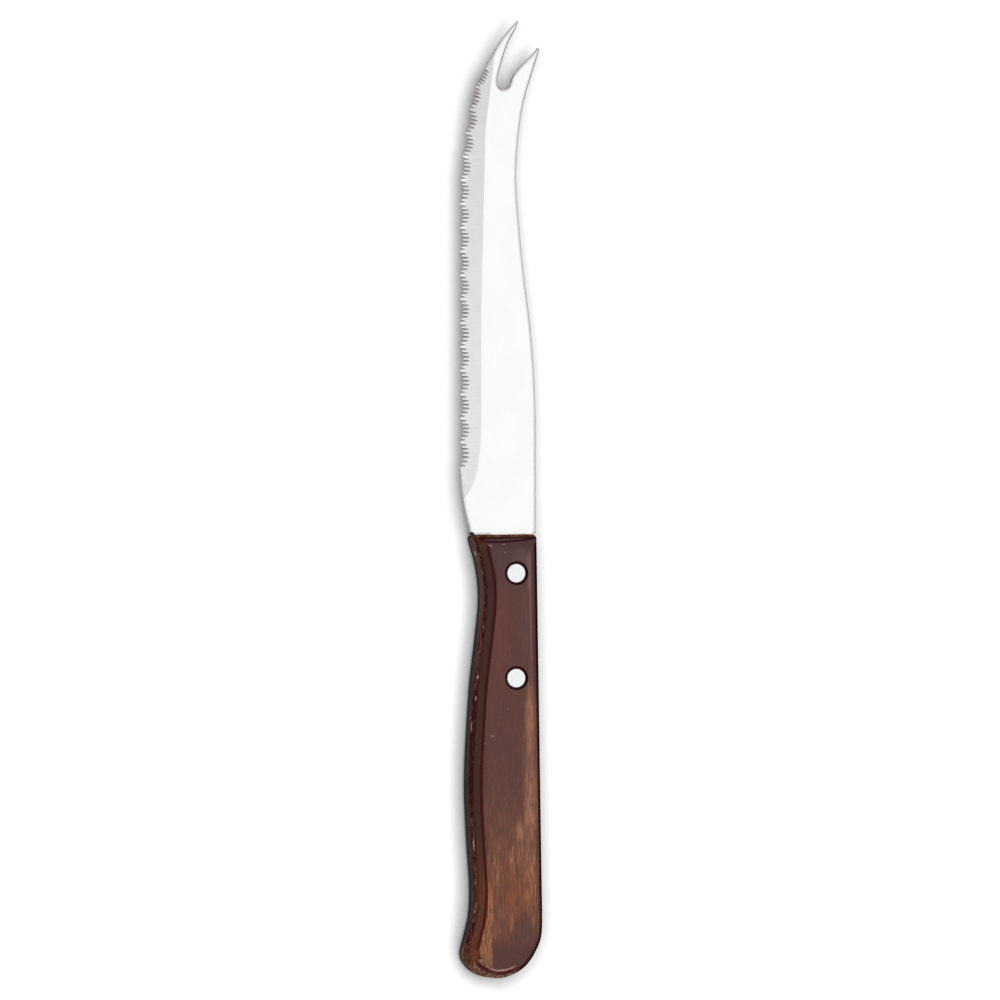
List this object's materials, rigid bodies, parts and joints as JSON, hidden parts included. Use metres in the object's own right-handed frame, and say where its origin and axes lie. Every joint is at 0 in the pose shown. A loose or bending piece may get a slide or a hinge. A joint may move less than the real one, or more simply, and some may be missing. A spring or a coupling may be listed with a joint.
{
  "type": "cheese knife",
  "caption": "Cheese knife with a forked tip, a scalloped cutting edge with fine grooves and a riveted hardwood handle with a hooked butt; cuts cheese and picks up the pieces",
  "frame": {"origin": "On the flat underside of the handle, at the middle of the handle's length; the knife lies on its side", "axes": "+Y runs from the handle to the fork's point, +X towards the spine of the blade, +Z towards the face that carries the serration's grooves"},
  "size_m": [0.0167, 0.1955, 0.01],
  "materials": {
    "steel": "polished flats, cross-ground bevel",
    "scale_wood": "stained, densified hardwood under a semi-gloss lacquer",
    "rivet_metal": "satin"
  },
  "bodies": {
    "root": {"blade": "steel", "upper_scale": "scale_wood", "lower_scale": "scale_wood", "front_rivet_female": "rivet_metal", "front_rivet_male": "rivet_metal", "rear_rivet_female": "rivet_metal", "rear_rivet_male": "rivet_metal"}
  },
  "joints": []
}
